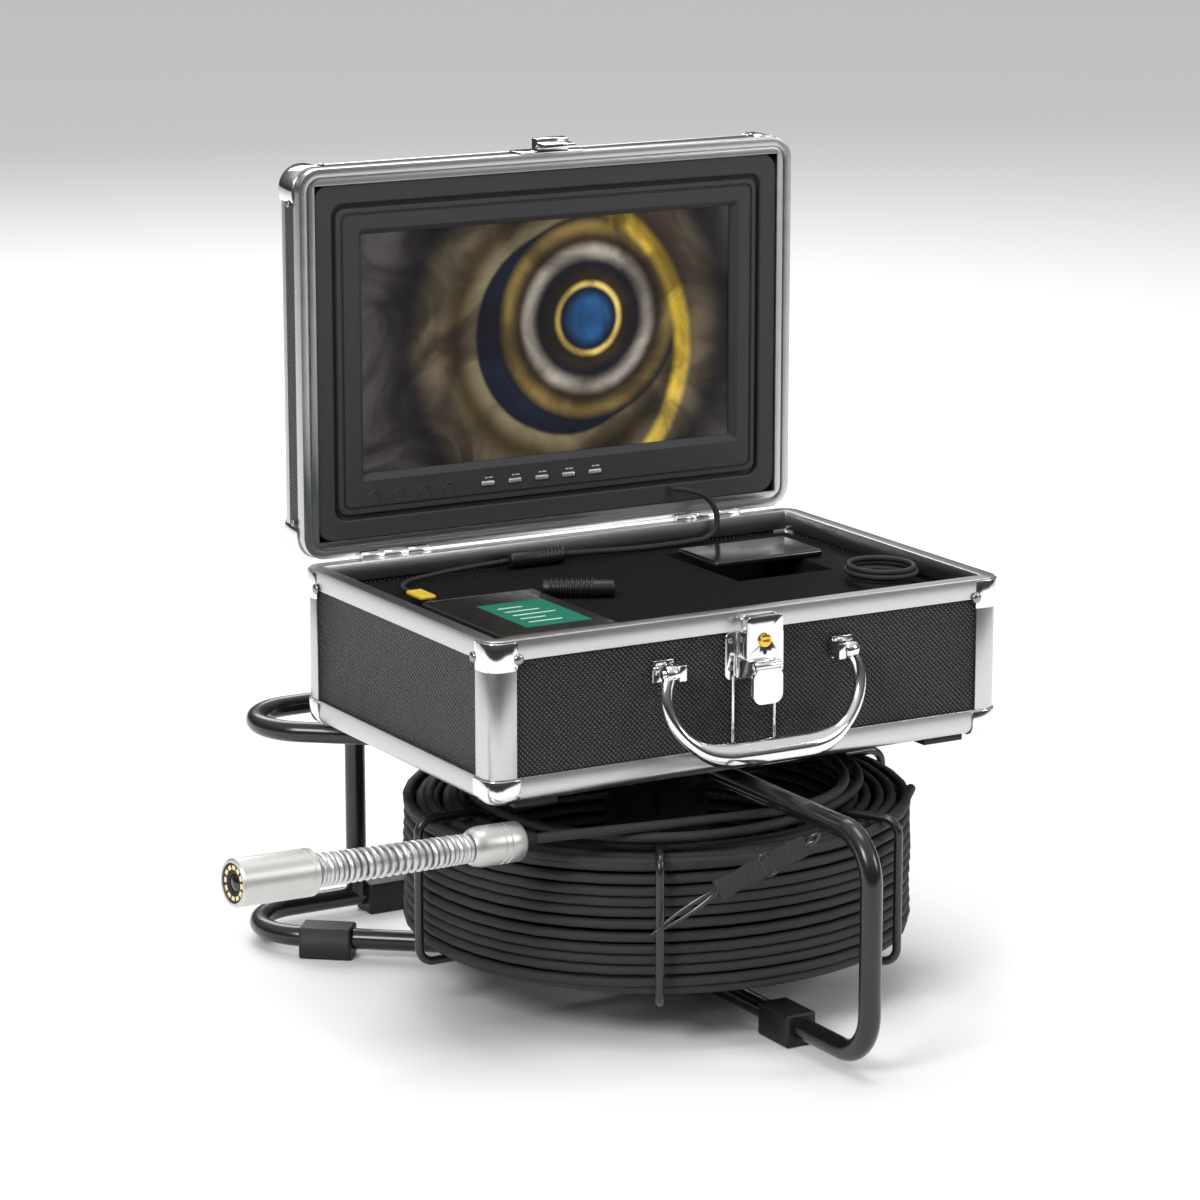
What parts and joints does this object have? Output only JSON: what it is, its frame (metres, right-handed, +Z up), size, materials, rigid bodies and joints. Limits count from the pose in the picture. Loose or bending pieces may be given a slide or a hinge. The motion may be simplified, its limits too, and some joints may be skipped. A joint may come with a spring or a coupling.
{
  "type": "pipe inspection camera",
  "caption": "Pipe inspection camera: a metal-edged carry case with a monitor in its lid, on a tube stand with a push cable reel and a camera head.",
  "frame": {"origin": "on the floor at the middle of the footprint of the stand and case, without the free cable and camera head", "axes": "+X right, +Y towards the back, +Z up; the front of the case faces -Y"},
  "size_m": [0.4558, 0.3855, 0.4242],
  "materials": {
    "black_tube": "satin black powder coat",
    "rubber": "matte rubber",
    "steel": "turned steel",
    "black_plastic": "moulded black plastic",
    "nylon": "natural nylon",
    "cable_jacket": "smooth black cable jacket",
    "head_steel": "satin stainless steel",
    "spring_steel": "bright spring steel",
    "lamp_face": "black face with warm white lamps",
    "lens_glass": "coated lens glass",
    "webbing": "black woven webbing",
    "panel": "black diamond-textured board",
    "profile": "satin anodised aluminium",
    "chrome": "bright chrome",
    "foam": "black foam",
    "battery": "black shrink film with a green label",
    "brass": "polished brass",
    "monitor_plastic": "dark moulded plastic",
    "screen": "lit display glass",
    "button_plastic": "silver-capped plastic"
  },
  "bodies": {
    "stand": {"stand_hubs": "black_tube", "stand_upper_loop": "black_tube", "stand_lower_loop": "black_tube", "stand_front_bow": "black_tube", "stand_back_posts": "black_tube", "stand_axle": "steel", "stand_feet": "rubber", "push_cable": "cable_jacket", "cable_boot": "rubber", "cable_collar": "head_steel", "flex_spring": "spring_steel", "camera_housing": "head_steel", "lamp_ring": "lamp_face", "camera_lens": "lens_glass", "strap_webbing": "webbing", "strap_hooks": "black_plastic"},
    "reel": {"reel_drum": "black_plastic", "reel_bushes": "nylon", "cage_wires": "black_tube", "cable_winding": "cable_jacket"},
    "case": {"case_long_panels": "panel", "case_end_panels": "panel", "case_rim": "profile", "case_floor": "panel", "case_bottom_edges": "profile", "case_corner_posts": "profile", "case_ball_corners": "chrome", "case_rim_brackets": "chrome", "case_feet": "rubber", "foam_insert": "foam", "battery_pack": "battery", "lead_joiner": "black_plastic", "monitor_lead": "cable_jacket", "monitor_lead_riser": "cable_jacket", "battery_lead": "cable_jacket", "charge_plug": "black_plastic", "sun_shade": "black_plastic", "latch_plate": "chrome", "latch_body": "chrome", "handle_mounts": "chrome", "hinge_lower_leaves": "chrome", "hinge_pins": "steel"},
    "lid": {"lid_rim": "profile", "lid_walls": "panel", "lid_back_edges": "profile", "lid_back_panel": "panel", "lid_hasp": "chrome", "lid_corner_caps": "chrome", "monitor_frame": "monitor_plastic", "screen_glass": "screen", "monitor_back": "monitor_plastic", "hinge_upper_leaves": "chrome"},
    "handle": {"handle_bail": "chrome"},
    "lever": {"latch_lever": "chrome"},
    "key": {"key_cylinder": "brass"},
    "button_record": {"button_record": "button_plastic"},
    "button_play": {"button_play": "button_plastic"},
    "button_menu": {"button_menu": "button_plastic"},
    "button_photo": {"button_photo": "button_plastic"},
    "button_zoom": {"button_zoom": "button_plastic"}
  },
  "joints": [
    {"name": "reel_spin", "type": "hinge", "parent": "stand", "child": "reel", "pos_m": [0, 0.01525, 0.0655], "axis": [0, 0, 1], "continuous": true},
    {"name": "case_lift", "type": "slide", "parent": "stand", "child": "case", "axis": [0, 0, 1], "range_m": [0, 0.2]},
    {"name": "lid_hinge", "type": "hinge", "parent": "case", "child": "lid", "pos_m": [0, 0.12345, 0.213], "axis": [1, 0, 0], "range_deg": [0, 90], "deforming": ["monitor_lead_riser"]},
    {"name": "handle_swing", "type": "hinge", "parent": "case", "child": "handle", "pos_m": [0, -0.08475, 0.1875], "axis": [1, 0, 0], "range_deg": [-100, 8]},
    {"name": "lever_lift", "type": "hinge", "parent": "case", "child": "lever", "pos_m": [0.0006, -0.08985, 0.1864], "axis": [1, 0, 0], "range_deg": [-95, 0]},
    {"name": "key_turn", "type": "hinge", "parent": "case", "child": "key", "pos_m": [0.0006, -0.08745, 0.1987], "axis": [0, -1, 0], "range_deg": [0, 90]},
    {"name": "button_record_press", "type": "slide", "parent": "lid", "child": "button_record", "axis": [0, 1, 0], "range_m": [0, 0.0006], "stiffness_N_per_m": 300},
    {"name": "button_play_press", "type": "slide", "parent": "lid", "child": "button_play", "axis": [0, 1, 0], "range_m": [0, 0.0006], "stiffness_N_per_m": 300},
    {"name": "button_menu_press", "type": "slide", "parent": "lid", "child": "button_menu", "axis": [0, 1, 0], "range_m": [0, 0.0006], "stiffness_N_per_m": 300},
    {"name": "button_photo_press", "type": "slide", "parent": "lid", "child": "button_photo", "axis": [0, 1, 0], "range_m": [0, 0.0006], "stiffness_N_per_m": 300},
    {"name": "button_zoom_press", "type": "slide", "parent": "lid", "child": "button_zoom", "axis": [0, 1, 0], "range_m": [0, 0.0006], "stiffness_N_per_m": 300}
  ]
}
